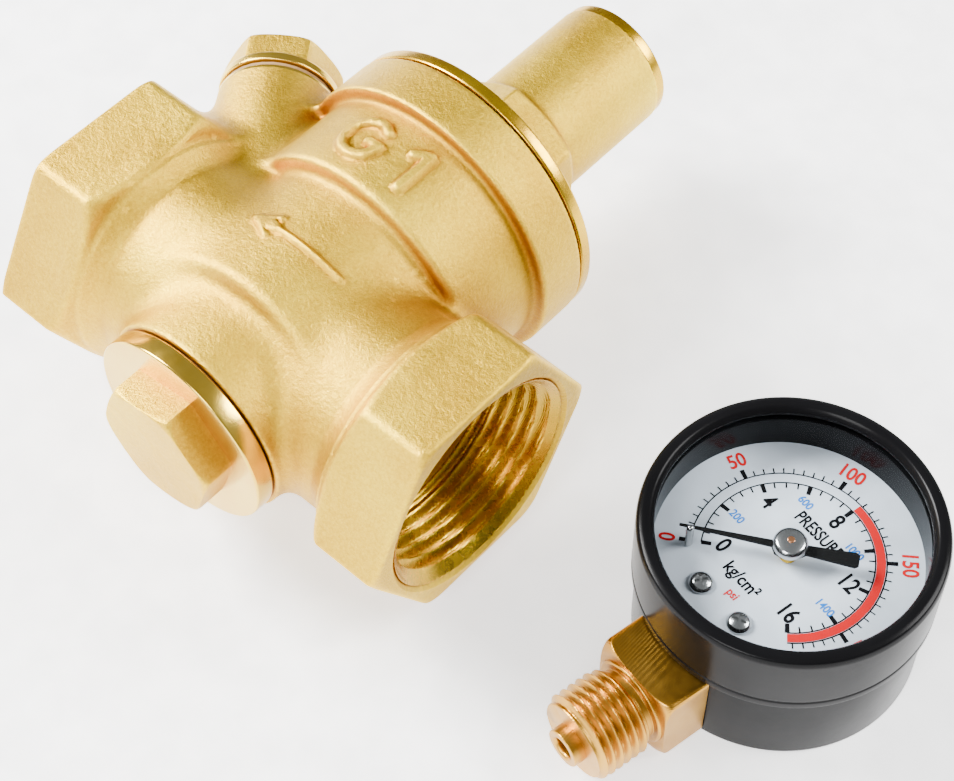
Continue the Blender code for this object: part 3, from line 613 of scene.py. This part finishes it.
def bonnet():
    step = 0.36
    made = casting(
        "bonnet_casting", bonnet_field, (-23.4, 37.6, -23.4), (23.4, 72.2, 23.4), step, VALVE,
        FINISHES["cast_brass"]
    )
    inside = [(0, 74), (8.0, 74), (8.0, 41), (15.0, 37), (0, 37)]
    cut(made, lathe("cut_tube", inside, VALVE @ ALONG_Y, FINISHES["cast_brass"], 144, 0.0))
    piece(smooth(made, 34), "regulator", "cast_brass", "bonnet")
    flange = [
        (15.0, 31.9), (20.3, 31.9), (20.3, 37.5), (23.3, 37.5), (23.3, 39.5), (21.6, 39.7), (15.0, 39.0),
        (15.0, 31.9)
    ]
    piece(
        lathe("bonnet_flange", flange, VALVE @ ALONG_Y, FINISHES["turned_brass"], 256, 0.4, ring=True),
        "regulator", "cast_brass"
    )
    end = [(8.0, 70.8), (10.05, 70.8), (10.05, 72.7), (8.4, 72.7), (8.0, 72.2), (8.0, 70.8)]
    piece(
        lathe("tube_end", end, VALVE @ ALONG_Y, FINISHES["turned_brass"], 192, 0.3, ring=True), "regulator",
        "cast_brass"
    )


def plugs():
    top, face = -18.4, -21.4
    body = [
        (0, 14.6), (11.2, 14.6), (12.0, 15.4), (12.0, -top), (15.4, -top), (15.4, -face),
        (10.5, -face - 0.15), (0, -face - 0.15)
    ]
    piece(
        lathe("bottom_plug_disc", body, VALVE @ AGAINST_Y, POLISHED, 224, 0.35), "regulator", "cast_brass",
        "bottom_plug"
    )
    levels = [
        (-face - 0.4, 10.9), *[(-face + 0.3 * k, 10.9) for k in range(1, 12)],
        *eased(-face + 3.5, -face + 4.9, 10.9, 9.5)
    ]
    head = turned_prism(
        "bottom_plug_head", 6, 18.8, levels, VALVE @ AGAINST_Y, FINISHES["cast_brass"], 10.5, 0.7
    )
    piece(head, "regulator", "cast_brass")
    seat = BOSS_END + 1.1
    collar = [
        (0, BOSS_END - 8.2), (5.2, BOSS_END - 8.2), (6.0, BOSS_END - 7.4), (6.0, seat), (9.4, seat),
        (9.4, seat + 1.4),
        (8.9, seat + 1.9), (0, seat + 1.9),
    ]
    piece(
        lathe("port_plug_collar", collar, VALVE @ ALONG_BOSS, POLISHED, 192, 0.25), "port_plug",
        "turned_brass", "gauge_port_plug"
    )
    levels = [
        (seat + 1.5, 9.6), *[(seat + 1.5 + 0.3 * k, 9.6) for k in range(1, 11)],
        *eased(seat + 4.7, seat + 6.2, 9.6, 8.2)
    ]
    head = turned_prism(
        "port_plug_head", 6, 16.4, levels, VALVE @ ALONG_BOSS, FINISHES["cast_brass"], 0, 0.6
    )
    piece(head, "port_plug", "turned_brass")


# ---------------------------------------------------------------- gauge


def gauge_shell():
    enamel = FINISHES["black_enamel"]
    case = [(0, 0), (20.4, 0), (20.4, 21.9), (19.6, 21.9), (19.6, 0.8), (0, 0.8)]
    made = lathe("case_shell", case, GAUGE, enamel, 256, 0.8)
    hole = build("cut_case", [(x, y, z) for x in (-4.8, 4.8) for y in (-24, -17) for z in (2.6, 12.2)],
                 BOX_FACES, GAUGE, enamel)
    piece(smooth(cut(made, sew(hole)), 32), "gauge", "black_enamel", "gauge_case")
    bezel = [
        (20.7, 14.8), (BEZEL_R, 14.8), (BEZEL_R, 16.0), (21.0, 16.3), (BEZEL_R, 16.6), (BEZEL_R, 25.9),
        (20.9, 26.7),
        (20.1, 27.0),
        (19.3, 26.9), (18.9, 26.5), (18.6, 25.95), (18.6, 25.6), (20.7, 25.6), (20.7, 14.8),
    ]
    piece(
        lathe("bezel_ring", bezel, GAUGE, enamel, 256, 0.3, ring=True), "gauge", "black_enamel",
        "gauge_bezel"
    )
    wall = [
        (18.65, DIAL_TOP + 0.05), (19.5, DIAL_TOP + 0.05), (19.5, 24.3), (18.65, 24.3),
        (18.65, DIAL_TOP + 0.05)
    ]
    piece(lathe("inner_wall", wall, GAUGE, enamel, 224, 0.1, ring=True), "gauge", "black_enamel")
    pane = [(0, 24.5), (20.3, 24.5), (20.3, 25.55), (0, 25.55)]
    piece(
        lathe("lens_pane", pane, GAUGE, FINISHES["lens_glass"], 224, 0.1), "gauge", "lens_glass",
        "gauge_lens"
    )


def gauge_stem():
    stem = GAUGE @ Matrix.Translation((0, 0, STEM_Z)) @ AGAINST_Y
    brass = FINISHES["stem_brass"]
    levels = [(19.4, 9.4), *[(19.7 + 0.4 * k, 9.4) for k in range(14)], *eased(25.3, 26.7, 9.4, 7.2)]
    piece(
        turned_prism("stem_block", 4, 13.8, levels, stem, brass, 45, 0.35, bore=1.6), "gauge", "stem_brass"
    )
    collar = [
        (1.6, 26.2), (6.5, 26.2), (6.5, 27.0), (6.2, 27.2), (5.3, 27.2), (5.3, 28.5), (1.6, 28.5),
        (1.6, 26.2)
    ]
    piece(lathe("stem_collar", collar, stem, brass, 160, 0.15, ring=True), "gauge", "stem_brass")
    steps, pitch, minor, major = 168, 1.337, 5.72, 6.5785
    along = np.arange(28.2, 36.95, 0.075)
    crest = ridge(along[:, None] / pitch + np.arange(steps)[None, :] / steps)
    fade = np.minimum(np.clip((along - 28.2) / 1.0, 0, 1), np.clip((36.9 - along) / 0.9, 0, 1))[:, None]
    radii = minor + (major - minor) * crest * fade
    inner = np.full((2, steps), 1.6)
    points, faces = revolve(np.vstack([radii, inner]), [*along, along[-1], along[0]], ring=True)
    piece(
        smooth(sew(build("stem_thread", points, faces, stem, brass)), 50), "gauge", "stem_brass",
        "gauge_socket"
    )
    pilot = [(1.6, 36.6), (2.9, 36.6), (2.9, 38.8), (1.9, 38.8), (1.6, 38.4), (1.6, 36.6)]
    piece(lathe("stem_pilot", pilot, stem, brass, 128, 0.2, ring=True), "gauge", "stem_brass")
    tenon = [(x, y, z) for x in (-4.5, 4.5) for y in (-20.0, -11.0) for z in (STEM_Z - 4.5, STEM_Z + 4.5)]
    piece(sew(build("stem_tenon", tenon, BOX_FACES, GAUGE, brass)), "gauge", "stem_brass")


def dial_angle(units):
    """Direction of a scale value on the dial, in degrees in the gauge's axes."""
    return -90 - (360 - SWEEP) / 2 - SWEEP * units / FULL_SCALE


class Print:
    """Flat printed shapes on the dial, gathered by ink."""

    def __init__(self):
        self.points = {ink: [] for ink in INK}
        self.faces = {ink: [] for ink in INK}

    def add(self, ink, points, faces, lift=0.03):
        start = len(self.points[ink])
        self.points[ink] += [(x, y, DIAL_TOP + lift) for x, y in points]
        self.faces[ink] += [[start + i for i in face] for face in faces]

    def band(self, ink, inner, outer, first, last, parts, lift=0.03):
        sweep = [first + (last - first) * k / parts for k in range(parts + 1)]
        points = []
        for units in sweep:
            angle = math.radians(dial_angle(units))
            points += [
                (inner * math.cos(angle), inner * math.sin(angle)),
                (outer * math.cos(angle), outer * math.sin(angle))
            ]
        self.add(ink, points, [(2 * k, 2 * k + 1, 2 * k + 3, 2 * k + 2) for k in range(parts)], lift)

    def tick(self, ink, inner, outer, units, width):
        half = width / 2 / ((inner + outer) / 2) * 180 / math.pi * FULL_SCALE / SWEEP
        self.band(ink, inner, outer, units - half, units + half, 1, 0.04)

    def text(self, ink, words, at, cap, turn=0.0, squeeze=1.0, weight=0.022):
        curve = bpy.data.curves.new("label", "FONT")
        curve.body = words
        curve.align_x = "CENTER"
        curve.align_y = "CENTER"
        curve.resolution_u = 4
        curve.offset = weight
        shown = bpy.data.objects.new("label", curve)
        bpy.context.scene.collection.objects.link(shown)
        bpy.context.view_layer.update()
        mesh = bpy.data.meshes.new_from_object(shown.evaluated_get(bpy.context.evaluated_depsgraph_get()))
        size = cap / 0.7
        c, s = math.cos(math.radians(turn)), math.sin(math.radians(turn))
        points = []
        for v in mesh.vertices:
            x, y = v.co.x * size * squeeze, v.co.y * size
            points.append((at[0] + x * c - y * s, at[1] + x * s + y * c))
        self.add(ink, points, [list(f.vertices) for f in mesh.polygons], 0.05)
        bpy.data.objects.remove(shown)

    def finish(self):
        for ink, material in INK.items():
            made = build("dial_print_" + ink, self.points[ink], self.faces[ink], GAUGE, material)
            piece(made, "gauge", "dial_white")


def dial_print():
    art = Print()
    art.band("black", 11.8, 12.0, 0, FULL_SCALE, 160)
    art.band("black", 13.35, 13.55, 0, FULL_SCALE, 160)
    art.band("red", 12.05, 13.3, 8, FULL_SCALE, 90, 0.02)
    for half in range(33):
        units = half / 2
        thick = half % 4 == 0
        art.tick("black", 10.5 if thick else 11.0, 11.9, units, 0.62 if thick else 0.22)
    for fives in range(46):
        units = fives * 5 / PSI_PER_UNIT
        thick = fives % 10 == 0
        art.tick("black", 13.45, 14.95 if thick else 14.3, units, 0.62 if thick else 0.2)
    for psi in (0, 50, 100, 150, 200):
        angle = dial_angle(psi / PSI_PER_UNIT)
        at = (16.5 * math.cos(math.radians(angle)), 16.5 * math.sin(math.radians(angle)))
        art.text("red", str(psi), at, 2.2, angle - 90, 0.85)
    for units in range(0, 17, 4):
        angle = math.radians(dial_angle(units))
        art.text("black", str(units), (8.9 * math.cos(angle), 8.9 * math.sin(angle)), 2.5, 0, 0.8)
    for units in range(2, 16, 4):
        angle = math.radians(dial_angle(units))
        art.text("blue", str(units * 100), (9.1 * math.cos(angle), 9.1 * math.sin(angle)), 1.25, 0, 0.85)
    art.text("black", "kg/cm²", (-1.0, -7.4), 1.9, 0, 0.85)
    art.text("red", "psi", (0, -9.9), 1.3, 0, 0.85)
    art.text("black", "PRESSURE", (0, 5.6), 1.9, 0, 0.72)
    art.finish()


def gauge_trim():
    steel = FINISHES["bright_steel"]
    cup = [(0, 21.3), (2.4, 21.3), (2.4, 22.2), (2.0, 22.75), (1.2, 22.95), (0, 23.0)]
    piece(lathe("hub_cap", cup, GAUGE, steel, 96, 0.25), "pointer_group", "bright_steel", "pointer_hub")
    dot = [(0, 22.9), (0.55, 22.9), (0.5, 23.08), (0, 23.12)]
    piece(lathe("hub_dot", dot, GAUGE, COPPER, 48, 0.05), "pointer_group", "bright_steel")
    angle = math.radians(dial_angle(0) + 2.4)
    at = Matrix.Translation((13.6 * math.cos(angle), 13.6 * math.sin(angle), DIAL_TOP))
    pin = [(0, 0.1), (0.55, 0.1), (0.55, 4.1), (0.35, 4.45), (0, 4.55)]
    piece(lathe("stop_peg", pin, GAUGE @ at, steel, 64, 0.2), "gauge", "bright_steel", "stop_pin")
    for number, side in enumerate((-1, 1), 1):
        angle = math.radians(-90 + 17.7 * side)
        at = Matrix.Translation((12.8 * math.cos(angle), 12.8 * math.sin(angle), DIAL_TOP))
        head = [(0, 0.1), (1.75, 0.1), (1.75, 0.35), (1.35, 0.85), (0.7, 1.1), (0, 1.15)]
        made = lathe(f"dial_screw_head_{number}", head, GAUGE @ at, steel, 96, 0.2)
        slots = []
        for turn in (25, 115):
            slot_at = GAUGE @ at @ Matrix.Rotation(math.radians(turn * side), 4, "Z")
            corners = [(x, y, z) for x in (-1.05, 1.05) for y in (-0.2, 0.2) for z in (0.6, 2.0)]
            slots.append(sew(build(f"cut_slot_{turn}", corners, BOX_FACES, slot_at, steel)))
        piece(smooth(cut(made, *slots), 32), "gauge", "bright_steel", f"dial_screw_{number}")


# ---------------------------------------------------------------- scene


def dress_cad():
    """Finishes for every CAD node, and small bevels on those that show."""
    for part in frame["record"]["subparts"]:
        node = frame["nodes"][part["node"]]
        node.data.materials.clear()
        node.data.materials.append(FINISHES[part["material_slot"]])
    for name in ("adjusting_screw", "pointer", "spring_seat", "gauge_dial"):
        bevel = frame["nodes"][name].modifiers.new("edges", "BEVEL")
        bevel.width = 0.00012
        bevel.segments = 2
        bevel.limit_method = "ANGLE"
        bevel.angle_limit = math.radians(35)


WORLD_LIGHT = 0.36
FLOOR_GLOW = 1.4
CAMERA_OFFSET = Vector((149.0, -124.04, 261.26)) * MM
CAMERA_TURN = 42.211
CAMERA_TILT = 55.021
CAMERA_ROLL = -0.298
CAMERA_LENS = 85.52


def studio():
    floor_data = bpy.data.meshes.new("floor")
    size = 3.0
    floor_data.from_pydata(
        [(-size, -size, 0), (size, -size, 0), (size, size, 0), (-size, size, 0)], [], [(0, 1, 2, 3)]
    )
    paint = plain("floor_paint", (0.93, 0.93, 0.93), 0.85, scale=40, height=0.0, sheen=0.1)
    glow = paint.node_tree.nodes["Principled BSDF"].inputs
    glow["Emission Color"].default_value = (1.0, 1.0, 1.0, 1)
    glow["Emission Strength"].default_value = FLOOR_GLOW
    floor_data.materials.append(paint)
    floor = bpy.data.objects.new("floor", floor_data)
    bpy.context.scene.collection.objects.link(floor)
    world = bpy.data.worlds.new("studio")
    world.use_nodes = True
    world.node_tree.nodes["Background"].inputs["Color"].default_value = (1.0, 1.0, 1.0, 1)
    world.node_tree.nodes["Background"].inputs["Strength"].default_value = WORLD_LIGHT
    bpy.context.scene.world = world
    middle = VALVE_AT + Vector((0.03, 0.01, 0))
    for name, away, size, power in (
        ("key", (-0.46, -0.14, 0.38), 0.30, 17.0),
        ("fill", (0.42, 0.40, 0.42), 0.35, 8.0),
        ("front", (0.10, -0.55, 0.42), 0.3, 5.0),
    ):
        light = bpy.data.lights.new(name, "AREA")
        light.shape = "DISK"
        light.size = size
        light.energy = power
        lamp = bpy.data.objects.new(name, light)
        lamp.location = middle + Vector(away)
        lamp.rotation_euler = (-Vector(away)).to_track_quat("-Z", "Y").to_euler()
        bpy.context.scene.collection.objects.link(lamp)


def camera():
    turn, tilt, roll = math.radians(CAMERA_TURN), math.radians(CAMERA_TILT), math.radians(CAMERA_ROLL)
    ahead = Vector((-math.sin(turn) * math.cos(tilt), math.cos(turn) * math.cos(tilt), -math.sin(tilt)))
    level = Vector((math.cos(turn), math.sin(turn), 0))
    upright = level.cross(ahead)
    right = level * math.cos(roll) + upright * math.sin(roll)
    up = upright * math.cos(roll) - level * math.sin(roll)
    data = bpy.data.cameras.new("camera")
    data.sensor_width = 36.0
    data.lens = CAMERA_LENS
    data.clip_start = 0.01
    made = bpy.data.objects.new("camera", data)
    facing = Matrix((right, up, -ahead)).transposed().to_4x4()
    made.matrix_world = Matrix.Translation(VALVE_AT + CAMERA_OFFSET) @ facing
    bpy.context.scene.collection.objects.link(made)
    bpy.context.scene.camera = made


valve_body()
bonnet()
plugs()
gauge_shell()
gauge_stem()
dial_print()
gauge_trim()
dress_cad()
studio()
camera()

bpy.context.view_layer.update()
